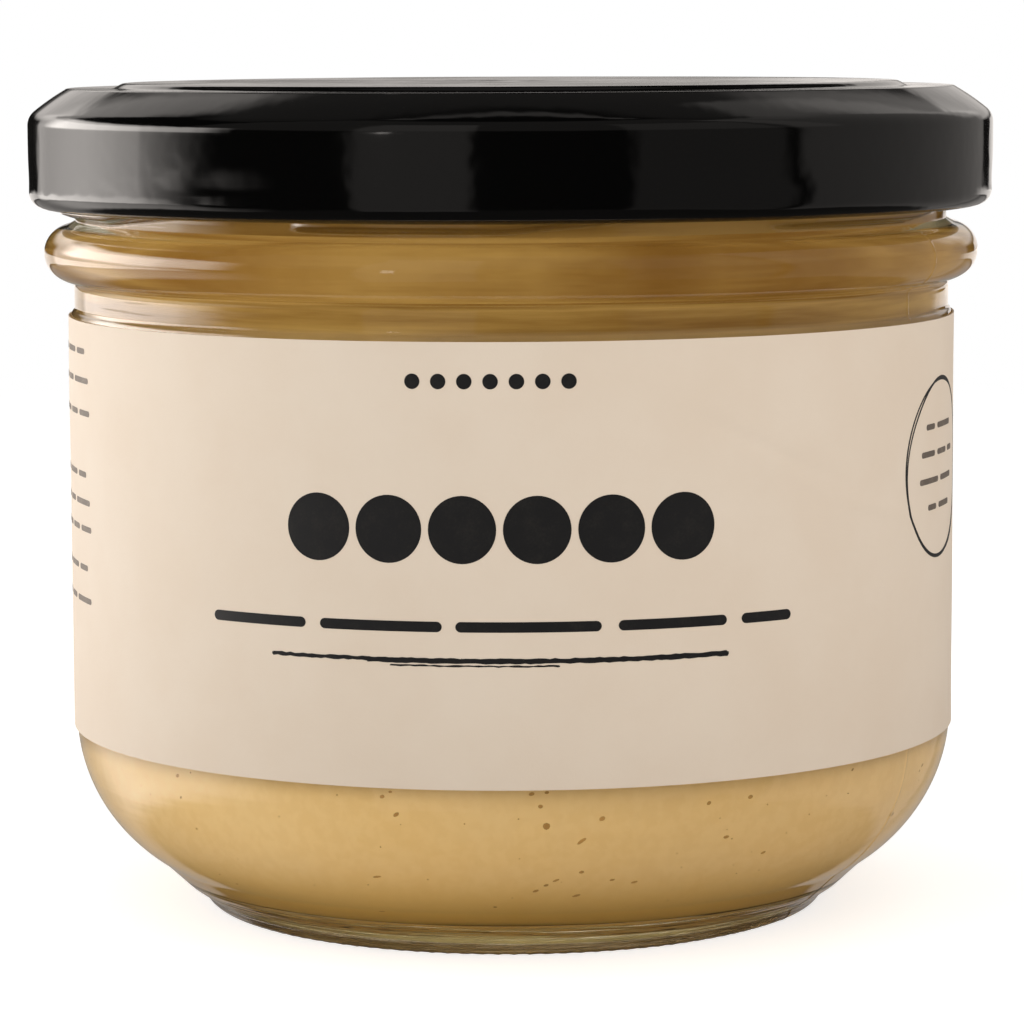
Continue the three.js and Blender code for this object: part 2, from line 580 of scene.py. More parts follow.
@dataclass(frozen=True)
class PressedGlass:
    """Clear pressed glass with level mould ripples, stronger in the neck and foot.

    The neck, the foot and the rounding over the resting ring begin or end softly between the two
    heights of neck, foot and ring. The foot is tinted olive, and the rounding over the resting
    ring gets a painted shade, a dark brown base colour where the jar meets the floor. Ripples and
    heights are in metres, and let_through is the share of the lamps' light that gets to what
    stands behind.
    """

    tint: Colour = (0.985, 0.99, 0.98)
    foot_tint: Colour = (0.97, 0.95, 0.82)
    # ring_painted_shade is a painted shade: a dark brown base colour low on the glass, where the
    # jar meets the floor.
    ring_painted_shade: Colour = (0.15, 0.10, 0.05)
    let_through: Colour = (0.97, 0.97, 0.95)
    index: float = 1.52
    ripple: float = 0.00008
    neck_ripple: float = 0.00009
    foot_ripple: float = 0.00030
    neck: Point = (0.0525, 0.054)
    foot: Point = (0.0027, 0.0034)
    ring: Point = (0.0010, 0.0016)

    def material(self) -> bpy.types.Material:
        """Builds the material."""
        material, graph = new_material("pressed_glass")
        level = graph.level()
        low = graph.span(level, *self.foot, 1.0, 0.0)
        # painted shade low on the glass, where the jar meets the floor
        contact_shade = graph.span(level, *self.ring, 1.0, 0.0)
        high = graph.times(graph.span(level, *self.neck), self.neck_ripple)
        height = 0.0
        for scale, flat, waver, size in (
            (30.0, 16.0, 0.2, self.ripple),
            (26.0, 22.0, 0.15, high),
            (45.0, 45.0, 0.1, graph.times(low, self.foot_ripple)),
        ):
            values = {"Scale": scale, "Length_over_height": flat, "Waver": waver}
            layer = EFFECTS.place(graph, Effect.STRIAE, **values)
            height = graph.plus(height, graph.times(layer, size))
        tint = graph.mix(low, self.tint, self.foot_tint)
        graph.shade(
            Base_Color=graph.mix(contact_shade, tint, self.ring_painted_shade),
            Normal=graph.bump(1.0, 1.0, height),
            Roughness=0.0,
            IOR=self.index,
            Transmission_Weight=1.0,
        )
        from_lamps = graph.add("LightPath").outputs["Is Shadow Ray"]
        open_ = graph.add("BsdfTransparent", {"Color": self.let_through}).outputs[0]
        glass = material.node_tree.nodes["Principled BSDF"].outputs[0]
        both = graph.add("MixShader", {0: from_lamps, 1: glass, 2: open_}).outputs[0]
        graph.feed(material.node_tree.nodes["Material Output"].inputs["Surface"], both)
        return material


@dataclass(frozen=True)
class BlackLacquer:
    """Gloss black lacquer on drawn sheet steel, with a soft peel and a little dust."""

    base: Colour = (0.0012, 0.0012, 0.0012)
    dust_tone: Colour = (0.35, 0.34, 0.32)
    peel: float = 0.00006

    def material(self) -> bpy.types.Material:
        """Builds the material."""
        material, graph = new_material("black_lacquer")
        specks = EFFECTS.place(graph, Effect.DUST, Scale=330.0, Size=0.07, Amount=0.03)
        cloud = EFFECTS.place(graph, Effect.MOTTLE, Scale=90.0, Detail=4.0, Spread=0.25)
        peel = EFFECTS.place(graph, Effect.MOTTLE, Scale=450.0, Detail=1.0, Spread=0.5)
        graph.shade(
            Base_Color=graph.mix(specks, self.base, self.dust_tone),
            Roughness=graph.plus(graph.span(cloud, 0, 1, 0.05, 0.1), graph.times(specks, 0.4)),
            Specular_IOR_Level=0.5,
            Normal=graph.bump(0.25, self.peel, peel),
        )
        return material


@dataclass(frozen=True)
class ChickpeaPaste:
    """Moist coarse-ground chickpea paste, with painted shade making the neck darker under the lid.

    Each band holds the two heights, in metres, between which a zone fades: the low colour near the
    floor, a painted shade on the lower bowl; the smears in the neck, darkened as a painted shade
    under the lid; and the shade above, more painted shade, in which the dark tone gains on the
    smears.
    The wet values are for the edge at which the paste is seen flat against the glass: a painted
    dark rim low on the bowl, and a pale tone there that is partly a real Metallic reflection and
    partly a painted sheen.
    """

    golden: Colour = (0.97, 0.67, 0.29)
    pale: Colour = (0.98, 0.74, 0.40)
    speckle: Colour = (0.78, 0.47, 0.15)
    # low and low_shade_band are painted shade: darker, more saturated paste on the lower bowl,
    # which faces the floor.
    low: Colour = (0.80, 0.51, 0.13)
    low_shade_band: Point = (0.0045, 0.0095)
    # neck_shade_tone and shaded_smear are painted shade: paste darkened in the neck under the lid.
    neck_shade_tone: Colour = (0.24, 0.11, 0.015)
    shaded_smear: Colour = (0.62, 0.385, 0.105)
    neck_shade_band: Point = (0.0500, 0.0535)
    # shade_band and shade_share paint more shade higher in the neck, towards the lid.
    shade_band: Point = (0.0555, 0.0600)
    shade_share: float = 0.5
    wet_edge: float = 0.9
    # painted_dark_rim is a painted dark line low on the bowl; reflection_and_painted_sheen tints
    # the edge's Metallic reflection and paints a sheen into its colour.
    painted_dark_rim: Colour = (0.10, 0.07, 0.01)
    reflection_and_painted_sheen: Colour = (0.90, 0.82, 0.52)

    def material(self) -> bpy.types.Material:
        """Builds the material."""
        material, graph = new_material("chickpea_paste")
        lay = partial(EFFECTS.place, graph)
        cloud = lay(Effect.MOTTLE, Scale=55.0, Detail=5.0, Flatness=1.6, Spread=0.28)
        flecks = lay(Effect.MOTTLE, Scale=900.0, Detail=2.0, Spread=0.12)
        smears = lay(Effect.MOTTLE, Scale=26.0, Detail=5.0, Flatness=16.0, Spread=0.2)
        relief = lay(Effect.GRAIN, Scale=1400.0, Coarse_share=0.25)
        level = graph.level()
        tone = graph.mix(graph.times(cloud, 0.5), self.golden, self.pale)
        tone = graph.mix(graph.times(flecks, 0.12), tone, self.speckle)
        # painted shade on the lower bowl, near the floor
        low_painted_shade = graph.span(level, *self.low_shade_band, 1.0, 0.0)
        tone = graph.mix(low_painted_shade, tone, self.low)
        # painted shade: the smears fade towards the dark tone higher in the neck
        smears = graph.times(smears, graph.span(level, *self.shade_band, 1.0, self.shade_share))
        smeared = graph.mix(smears, self.neck_shade_tone, self.shaded_smear)
        # painted shade under the lid: the neck turns to the darkened smears
        tone = graph.mix(graph.span(level, *self.neck_shade_band), tone, smeared)
        wet = graph.add("Fresnel", {"IOR": self.wet_edge}).outputs[0]
        # painted dark rim where the paste meets the glass low on the bowl
        rim = graph.times(graph.span(wet, 0.01, 0.15), low_painted_shade)
        tone = graph.mix(rim, tone, self.painted_dark_rim)
        graph.shade(
            # partly a real Metallic reflection, partly a painted sheen in the colour
            Base_Color=graph.mix(graph.span(wet, 0.3, 1.0), tone, self.reflection_and_painted_sheen),
            Metallic=graph.times(wet, 0.6),
            Roughness=graph.span(wet, 0.0, 1.0, 0.6, 0.03),
            Normal=graph.bump(0.2, 0.0001, relief),
            Specular_IOR_Level=0.1,
        )
        return material


@dataclass(frozen=True)
class SkinFleck:
    """Dark wet flecks of chickpea skin and spice at the glass, in two close tones."""

    tone: Colour = (0.42, 0.23, 0.07)
    lighter: float = 1.5

    def material(self) -> bpy.types.Material:
        """Builds the material."""
        material, graph = new_material("skin_fleck")
        cloud = EFFECTS.place(graph, Effect.MOTTLE, Scale=700.0, Detail=2.0, Spread=0.25)
        light = tuple(c * self.lighter for c in self.tone)
        tone = graph.mix(cloud, self.tone, light)
        graph.shade(Base_Color=tone, Roughness=0.5, Specular_IOR_Level=0.15)
        return material


@dataclass(frozen=True)
class LabelPaper:
    """Uncoated cream label paper with a cloudy formation and fine fibres."""

    cream: Colour = (0.80, 0.695, 0.585)
    shade: Colour = (0.77, 0.655, 0.54)
    fibre: float = 0.00008

    def material(self) -> bpy.types.Material:
        """Builds the material."""
        material, graph = new_material("label_paper")
        cloud = EFFECTS.place(graph, Effect.MOTTLE, Scale=120.0, Detail=4.0, Spread=0.25)
        fibres = EFFECTS.place(graph, Effect.GRAIN, Scale=5200.0, Coarse_share=0.12)
        graph.shade(
            Base_Color=graph.mix(graph.times(cloud, 0.8), self.cream, self.shade),
            Roughness=0.62,
            Specular_IOR_Level=0.35,
            Normal=graph.bump(0.25, self.fibre, fibres),
        )
        return material


@dataclass(frozen=True)
class PrintInk:
    """Ink that has sunk a little into the paper, worn on the highest fibres."""

    name: str = "print_ink"
    tone: Colour = (0.012, 0.012, 0.013)
    worn: Colour = (0.02, 0.019, 0.018)

    def material(self) -> bpy.types.Material:
        """Builds the material."""
        material, graph = new_material(self.name)
        fibres = EFFECTS.place(graph, Effect.GRAIN, Scale=5200.0, Coarse_share=0.12)
        tone = graph.mix(graph.span(fibres, 0.45, 0.75), self.tone, self.worn)
        graph.shade(Base_Color=tone, Roughness=0.55, Specular_IOR_Level=0.3)
        return material


def dress(piece: Item, material: bpy.types.Material, slot: str, *nodes: str) -> None:
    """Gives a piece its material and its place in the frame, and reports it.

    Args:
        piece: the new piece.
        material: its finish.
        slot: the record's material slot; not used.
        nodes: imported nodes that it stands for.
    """
    piece.data.materials.append(material)
    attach(piece, BODY)
    if nodes:
        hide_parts(*nodes)
    mesh = piece.data
    log.info("%s: %d corners, %d faces", piece.name, len(mesh.vertices), len(mesh.polygons))


# ---- The glass jar -------------------------------------------------------------------------


@dataclass
class Threads:
    """The short threads on the neck, which climb to the right from a level low end.

    Attributes:
        count: how many there are round the neck.
        first: angle of the first low end.
        start: height of the low end's middle.
        level: degrees that run level before the climb.
        sweep: degrees covered by one thread.
        climb: rise over the rest of the sweep.
        depth: how far the crest stands out.
        half_height: half of the thread's width along the axis.
        run_out: degrees over which an end sinks into the neck.
    """

    count: int = 6
    first: float = -27.0
    start: float = 61.95
    level: float = 26.0
    sweep: float = 62.0
    climb: float = 2.1
    depth: float = 1.4
    half_height: float = 1.1
    run_out: float = 6.0

    def at(self, angle: Array, height: Array) -> Array:
        """How far the threads stand out of the neck at each place.

        Args:
            angle: angles round the jar.
            height: heights.

        Returns:
            Offsets in millimetres.
        """
        out = np.zeros(angle.shape)
        for i in range(self.count):
            middle = self.first + self.sweep / 2 + 360.0 / self.count * i
            turn = turn_between(angle, middle) + self.sweep / 2
            inside = np.clip(np.minimum(turn, self.sweep - turn) / self.run_out, 0.0, 1.0)
            climbed = np.clip((turn - self.level) / (self.sweep - self.level), 0, 1)
            off = np.abs(height - (self.start + self.climb * climbed)) / self.half_height
            crest = 1.0 - smooth_step(off, 0.45, 1.0)
            out = np.maximum(out, self.depth * np.sqrt(np.maximum(inside, 0.0)) * crest)
        return out


@dataclass
class GlassJar:
    """The squat clear jar: hollow foot, bowl, straight wall, bead, threaded neck and lip."""

    wall: float = 38.8
    wall_top: float = 52.3
    wall_bore: float = 36.2
    groove: float = 38.5
    groove_bottom: float = 53.0
    groove_top: float = 55.0
    neck: float = 38.3
    neck_bottom: float = 60.65
    thread_bottom: float = 60.5
    thread_top: float = 66.4
    neck_bore: float = 35.3
    bore_low: float = 52.0
    bore_high: float = 54.0
    bore_round: float = 13.2
    bore_edge: float = 0.6
    lip_out: float = 1.2
    lip_in: float = 0.9
    bead_centre: float = 38.62
    bead_height: float = 57.85
    bowl_round: float = 14.85
    bowl_top: float = 17.1
    bowl_sweep: float = 57.7
    floor: float = 3.6
    heel: Point = (29.47, 2.3)
    foot_round: float = 1.65
    foot_outer: float = 26.2
    foot_inner: float = 23.2
    foot_edge: float = 0.45
    hollow: float = 1.5
    seams: Point = (60.0, -120.0)
    seam_height: float = 0.06
    seam_width: float = 0.16
    stipple_count: int = 120
    stipple_depth: float = 0.14
    columns: int = 384
    threads: Threads = field(default_factory=Threads)

    @property
    def lip(self) -> float:
        """Height of the sealing lip."""
        return top("glass_jar")

    @property
    def bead_round(self) -> float:
        """Section radius of the bead."""
        return reach("glass_jar") - self.bead_centre

    def bore(self, gap: float, start: float) -> Section:
        """Inside of the jar, from the neck down to the axis.

        Args:
            gap: how far the outline is drawn in from the glass.
            start: height at which it begins.

        Returns:
            The outline from top to bottom.
        """
        centre = self.wall_bore - self.bore_round
        edge = self.bore_edge
        return [
            *run((self.neck_bore - gap, start), (self.neck_bore - gap, self.bore_high), 1.5),
            *arc(centre + self.bore_round - gap - edge, self.bore_low - 0.4, edge, 30, 0, 3),
            *run((self.wall_bore - gap, self.bore_low - 1), (self.wall_bore - gap, 20.0), 3.0),
            *arc(centre, self.floor + self.bore_round, self.bore_round - gap, 0, -90, 32),
            *run((centre, self.floor + gap), (0.0, self.floor + gap), 3.0),
        ]

    def foot(self) -> Section:
        """Underside and foot, from the axis out to the heel.

        Returns:
            The outline from the middle outwards.
        """
        edge = self.foot_edge
        out, rise = self.foot_inner - 2 * edge, self.hollow - edge
        shares = (0.2, 0.4, 0.6, 0.8, 0.95)
        return [
            (0.0, self.hollow),
            *[(out * s, edge + rise * math.cos(s * math.pi / 2)) for s in shares],
            *arc(self.foot_inner, edge, edge, 180, 270, 4),
            *run((self.foot_inner, 0.0), (self.foot_outer, 0.0), 0.3),
            *arc(self.foot_outer, self.foot_round, self.foot_round, -90, -18, 12),
        ]

    def outside(self) -> Section:
        """Outline of the outside, from the heel up to the lip.

        Returns:
            The outline from bottom to top.
        """
        centre = self.wall - self.bowl_round
        flank = arc(centre, self.bowl_top, self.bowl_round, -self.bowl_sweep, 0, 48)
        out, into = self.lip_out, self.lip_in
        return [
            *run(self.heel, flank[0], 0.4),
            *flank,
            *run((self.wall, self.bowl_top), (self.wall, self.wall_top), 2.5),
            *arc(self.wall - 0.8, self.wall_top, 0.8, 0, 50, 4),
            (self.groove, self.groove_bottom + 0.2),
            *run((self.groove, self.groove_bottom + 0.4), (self.groove, self.groove_top), 0.4),
            *arc(self.bead_centre, self.bead_height, self.bead_round, -84, 80, 36),
            *run((self.neck, self.neck_bottom), (self.neck, self.thread_top), 0.15),
            *run((self.neck, self.thread_top + 0.5), (self.neck, self.lip - out), 1.2),
            *arc(self.neck - out, self.lip - out, out, 0, 90, 6),
            *arc(self.neck_bore + into, self.lip - into, into, 90, 180, 6),
        ]

    def shape(self, angle: Array, radius: Array, height: Array) -> tuple[Array, Array]:
        """Adds threads, mould seams, stippling and soft unevenness to the turned outline.

        Args:
            angle: angles of the corners.
            radius: their distances from the axis.
            height: their heights.

        Returns:
            The new distances and heights.
        """
        on_neck = radius > self.neck - 0.05
        outer = on_neck | ((height < self.bowl_top) & (radius > self.foot_outer))
        wavy = Waves(3, 0.035, 9, 16.0).at(angle, height) * outer
        seam = sum(bump_at(turn_between(angle, s), 0.0, self.seam_width) for s in self.seams)
        seam = seam * self.seam_height * outer * (height < self.thread_bottom)
        lugs = self.threads.at(angle, height) * on_neck * (height > self.thread_bottom)
        ring = smooth_step(radius, self.foot_inner + 0.1, self.foot_inner + 0.6)
        ring = ring * (1.0 - smooth_step(radius, self.foot_outer + 0.2, self.foot_outer + 0.9))
        dots = (0.5 - 0.5 * np.cos(np.radians(angle) * self.stipple_count)) * (height < 1.0)
        return radius + wavy + seam + lugs, height + dots * self.stipple_depth * ring

    def build(self, finish: PressedGlass) -> None:
        """Makes the jar in its glass."""
        section = [*self.foot(), *self.outside(), *self.bore(0.0, self.lip - 1.5)]
        made = Turning("jar_glass", section, azimuths(self.columns, self.seams), shape=self.shape)
        dress(made.build(), finish.material(), "glass", "glass_jar")


# ---- The hummus ----------------------------------------------------------------------------


@dataclass
class Flecks:
    """Flecks and small voids that show where the paste meets the glass.

    Attributes:
        seed: start of the random draw.
        count: how many are scattered.
        smallest: half length of the smallest.
        largest: half length of the largest.
        heights: lowest and highest place of those that are scattered.
        front: degrees to each side of the front where only the smallest are scattered.
        proud: how far they stand out of the paste.
        sunk: how far their rims lie in it.
        placed: the larger ones at the front: angle, height, half length, half width and lean.
    """

    seed: int = 11
    count: int = 150
    smallest: float = 0.1
    largest: float = 0.4
    heights: Point = (5.5, 16.5)
    front: float = 45.0
    proud: float = 0.03
    sunk: float = 0.02
    placed: tuple[tuple[float, float, float, float, float], ...] = (
        (-21.2, 5.2, 0.39, 0.19, 0.1),
        (-19.1, 8.6, 0.59, 0.16, 0.2),
        (-16.7, 15.3, 0.31, 0.22, 0.3),
        (-15.6, 15.7, 0.23, 0.16, 0.0),
        (-15.0, 13.9, 0.39, 0.20, 0.5),
        (-2.8, 6.1, 0.26, 0.18, 0.0),
        (2.3, 15.7, 0.34, 0.19, 0.2),
        (3.1, 7.6, 0.39, 0.19, 0.4),
        (3.4, 14.7, 0.29, 0.22, 0.0),
        (4.2, 13.1, 0.43, 0.41, 0.0),
        (4.5, 8.1, 0.31, 0.18, 0.3),
        (4.2, 15.8, 0.26, 0.16, 0.1),
        (5.8, 8.5, 0.45, 0.18, 0.5),
        (8.8, 11.8, 0.62, 0.22, 0.6),
        (9.0, 7.1, 0.55, 0.22, 0.4),
        (9.2, 9.2, 0.31, 0.22, 0.2),
        (11.3, 13.6, 0.39, 0.27, 0.3),
        (13.7, 8.4, 0.34, 0.20, 0.2),
        (17.0, 8.1, 0.42, 0.19, 0.3),
        (25.6, 14.3, 0.31, 0.22, 0.4),
        (29.0, 11.4, 0.39, 0.22, 0.1),
        (31.7, 14.5, 0.34, 0.24, 0.2),
        (36.0, 9.7, 0.36, 0.19, 0.3),
    )


@dataclass
class Hummus:
    """The paste: it fills the jar and reaches just into the wall, so that no air shows."""

    jar: GlassJar
    into_wall: float = 0.12
    edge: float = 0.8
    columns: int = 256
    flecks: Flecks = field(default_factory=Flecks)

    def section(self) -> Section:
        """Outline of the paste.

        Returns:
            The outline from the middle of the floor to the middle of the top.
        """
        level = top("hummus")
        side = self.jar.bore(-self.into_wall, level - self.edge)
        rim = self.jar.neck_bore + self.into_wall - self.edge
        return [*reversed(side), *arc(rim, level - self.edge, self.edge, 15, 90, 4), (0.0, level)]

    def side_at(self, height: float) -> Point:
        """Where the paste's bowl-shaped lower side is.

        Args:
            height: a height under the start of the straight wall.

        Returns:
            The radius there and the outward normal's angle above level, in radians.
        """
        bend = self.jar.bore_round + self.into_wall
        fall = (self.jar.floor + self.jar.bore_round - height) / bend
        centre = self.jar.wall_bore - self.jar.bore_round
        return centre + bend * math.sqrt(1 - fall * fall), -math.asin(fall)

    def fleck(self, angle: float, height: float, long: float, wide: float, lean: float) -> Array:
        """Corners of one flat fleck on the paste's side: a ring and its middle.

        Args:
            angle: place round the jar.
            height: place up the jar.
            long: half length.
            wide: half width.
            lean: turn of its length from level, in radians.

        Returns:
            Places of 8 rim corners and the middle.
        """
        radius, tilt = self.side_at(height)
        a = math.radians(angle)
        level, rise = math.cos(tilt), math.sin(tilt)
        out = np.array([math.sin(a) * level, -math.cos(a) * level, rise])
        across = np.array([math.cos(a), math.sin(a), 0.0])
        along = np.cross(out, across)
        middle = np.array([radius * math.sin(a), -radius * math.cos(a), height])
        corners = []
        for k in range(8):
            t = k * math.pi / 4
            u, v = long * math.cos(t), wide * math.sin(t)
            sideways = u * math.cos(lean) - v * math.sin(lean)
            climb = u * math.sin(lean) + v * math.cos(lean)
            sink = sideways * sideways / (2 * radius) + self.flecks.sunk
            corners.append(middle + across * sideways + along * climb - out * sink)
        return np.array([*corners, middle + out * self.flecks.proud])

    def build_flecks(self) -> Item:
        """Scatters the flecks over the side that shows.

        Returns:
            The flecks as one object.
        """
        plan = self.flecks
        draw = np.random.default_rng(plan.seed)
        flecks = list(plan.placed)
        for _ in range(plan.count):
            angle, height = draw.uniform(-180, 180), draw.uniform(*plan.heights)
            spread = plan.largest - plan.smallest if abs(angle) > plan.front else 0.0
            size = plan.smallest + spread * draw.random() ** 2.5
            wide = size * draw.uniform(0.45, 1.0)
            flecks.append((angle, height, size, wide, draw.uniform(-0.3, 0.9)))
        points = np.vstack([self.fleck(*fleck) for fleck in flecks])
        starts = range(0, len(points), 9)
        faces = [(at + k, at + (k + 1) % 8, at + 8) for at in starts for k in range(8)]
        return mesh_object("hummus_flecks", points, faces)

    def build(self, finish: ChickpeaPaste, fleck: SkinFleck) -> None:
        """Makes the paste and its flecks.

        Args:
            finish: the paste's finish.
            fleck: the flecks' finish.
        """
        paste = Turning("hummus_paste", self.section(), azimuths(self.columns)).build()
        dress(paste, finish.material(), "hummus", "hummus")
        dress(self.build_flecks(), fleck.material(), "hummus")


# ---- The lid -------------------------------------------------------------------------------


@dataclass
class Lid:
    """The twist-off lid: raised panel, rim, sloping shoulder, skirt and rolled edge."""

    sheet: float = 0.3
    corner: float = 1.6
    corner_height: float = 68.95
    corner_turn: float = 51.0
    shoulder: float = 21.0
    shoulder_turn: float = 60.0
    rim_outer: float = 38.74
    rim_edge: float = 0.5
    panel: float = 33.8
    panel_step: float = 0.43
    step_width: float = 1.2
    curl_outer: float = 1.45
    curl_inner: float = 0.75
    curl_bore: float = 40.1
    lug_angles: tuple[float, ...] = (-31.0, 29.0, 89.0, 149.0, -151.0, -91.0)
    lug_pull: float = 0.22
    lug_width: float = 7.0
    lug_height: float = 2.3
    lug_band: float = 1.4
    columns: int = 320

    def outside(self, radius: float, low: float, high: float) -> Section:
        """Outline from the rolled edge up over the lid to its middle.

        Args:
            radius: radius of the skirt.
            low: height of the rolled edge.
            high: height of the panel.

        Returns:
            The outline from bottom to top.
        """
        wide = self.step_width
        rim, slope_end = high - self.panel_step, self.panel + wide
        edge = math.radians(self.corner_turn)
        swing = self.shoulder - self.corner
        across = radius - self.corner - swing * math.cos(edge)
        up = self.corner_height - swing * math.sin(edge)
        return [
            *arc(radius - self.curl_outer, low + self.curl_outer, self.curl_outer, -90, 0, 12),
            *run((radius, low + 2.0), (radius, self.corner_height - 0.4), 0.5),
            *arc(radius - self.corner, self.corner_height, self.corner, 0, self.corner_turn, 14),
            *arc(across, up, self.shoulder, self.corner_turn, self.shoulder_turn, 8),
            *arc(self.rim_outer, rim - self.rim_edge, self.rim_edge, self.shoulder_turn, 90, 5),
            *run((self.rim_outer, rim), (slope_end, rim), 0.8),
            *[(slope_end - s, rim + self.panel_step * (0.5 - 0.5 * math.cos(s / wide * math.pi)))
              for s in (0.2, 0.4, 0.6, 0.8, 1.0, 1.2)],
            *run((self.panel - 0.4, high), (0.0, high), 2.5),
        ]

    def inside(self, radius: float, low: float, high: float) -> Section:
        """Outline of the underside, from its middle out and down to the rolled edge.

        Args:
            radius: radius of the skirt.
            low: height of the rolled edge.
            high: height of the panel.

        Returns:
            The outline from top to bottom.
        """
        under = high - self.panel_step - 2 * self.sheet
        bore, curl = radius - self.sheet, self.curl_inner
        return [
            (0.0, under + self.panel_step),
            (self.panel, under + self.panel_step),
            (self.panel + self.step_width, under),
            (self.rim_outer, under),
            (bore - 0.6, self.corner_height + 0.9),
            (bore, self.corner_height),
            (bore, low + 2 * self.curl_outer - 0.6),
            (self.curl_bore + curl, low + 2 * curl + 0.5),
            *arc(self.curl_bore + curl, low + curl, curl, 150, 268, 8),
        ]

    def shape(self, angle: Array, radius: Array, height: Array) -> tuple[Array, Array]:
        """Pulls the skirt in a little over each inner lug and makes the sheet softly uneven.

        Args:
            angle: angles of the corners.
            radius: their distances from the axis.
            height: their heights.

        Returns:
            The new distances and heights.
        """
        low, skirt = bottom("lid"), reach("lid")
        offs = [turn_between(angle, lug) for lug in self.lug_angles]
        near = sum(bump_at(off, 0.0, self.lug_width) for off in offs)
        band = bump_at(height, low + self.lug_height, self.lug_band) * (radius > skirt - 1.0)
        wavy = Waves(8, 0.018, 7, 30.0).at(angle, height) * (radius > skirt - 2.5)
        on_panel = (radius < self.panel) * (height > low + 6)
        sag = Waves(5, 0.03, 4, 400.0).at(angle, height) * on_panel
        return radius - near * band * self.lug_pull + wavy, height + sag

    def build(self, finish: BlackLacquer) -> None:
        """Makes the lid.

        Args:
            finish: its lacquer.
        """
        sizes = reach("lid"), bottom("lid"), top("lid")
        section = [*self.inside(*sizes), *self.outside(*sizes)]
        made = Turning("lid_twist_off", section, azimuths(self.columns), shape=self.shape).build()
        dress(made, finish.material(), "lacquer", "lid")


# ---- The label -----------------------------------------------------------------------------


@dataclass
class Crease:
    """A fold mark across the label, from one place to another.

    Attributes:
        start: distance round the label from the front and height, in millimetres.
        end: the same for its other end.
        raised: height of the ridge, or depth if negative.
        width: half width of the mark.
    """

    start: Point
    end: Point
    raised: float
    width: float

    def at(self, along: Array, height: Array) -> Array:
        """How far the paper stands out at each place.

        Args:
            along: distances round the label.
            height: heights.

        Returns:
            Offsets in millimetres.
        """
        a = np.array(self.start)
        line = np.array(self.end) - a
        share = ((along - a[0]) * line[0] + (height - a[1]) * line[1]) / (line @ line)
        share = np.clip(share, 0.0, 1.0)
        off = np.hypot(along - a[0] - share * line[0], height - a[1] - share * line[1])
        return self.raised * bump_at(off, 0.0, self.width) * np.sin(share * math.pi) ** 0.5


@dataclass
class Label:
    """The paper wrapped round the wall, its ends lapped at the back, and two creases in it."""

    bore: float = 38.87
    paper: float = 0.15
    lap: float = 16.0
    lap_fade: float = 1.5
    edge_rise: float = 0.12
    columns: int = 560
    creases: tuple[Crease, ...] = (
        Crease((14.0, 46.6), (31.2, 39.3), 0.13, 0.45),
        Crease((28.0, 39.2), (42.0, 35.6), -0.12, 0.5),
    )

    @property
    def face(self) -> float:
        """Radius of the printed side."""
        return self.bore + self.paper

    def shape(self, angle: Array, radius: Array, height: Array) -> tuple[Array, Array]:
        """Lifts the outer end over the inner one and adds creases and a soft waviness.

        Args:
            angle: angles of the corners.
            radius: their distances from the axis.
            height: their heights.

        Returns:
            The new distances and heights.
        """
        outer = radius > self.bore + self.paper / 2
        off, half = turn_between(angle, 180.0), self.lap / 2
        edge = smooth_step(off, -half - self.edge_rise, -half + self.edge_rise)
        lifted = self.paper * edge * (1.0 - smooth_step(off, half - self.lap_fade, half))
        along = np.radians(angle) * self.face
        marks = sum(crease.at(along, height) for crease in self.creases)
        wavy = Waves(21, 0.015, 14, 12.0).at(angle, height)
        return radius + (lifted + marks + wavy) * outer, height

    def build(self, finish: LabelPaper) -> None:
        """Makes the label.

        Args:
            finish: its paper.
        """
        low, high = bottom("paper_label"), top("paper_label")
        section = [
            *run((self.face, low), (self.face, high), 0.5),
            *run((self.bore, high), (self.bore, low), 12.0),
        ]
        columns = azimuths(self.columns, (180.0 - self.lap / 2 - 360.0,), 0.4)
        made = Turning("label_wrap", section, columns, closed=True, shape=self.shape, sharp=40.0)
        dress(made.build(), finish.material(), "paper", "paper_label")


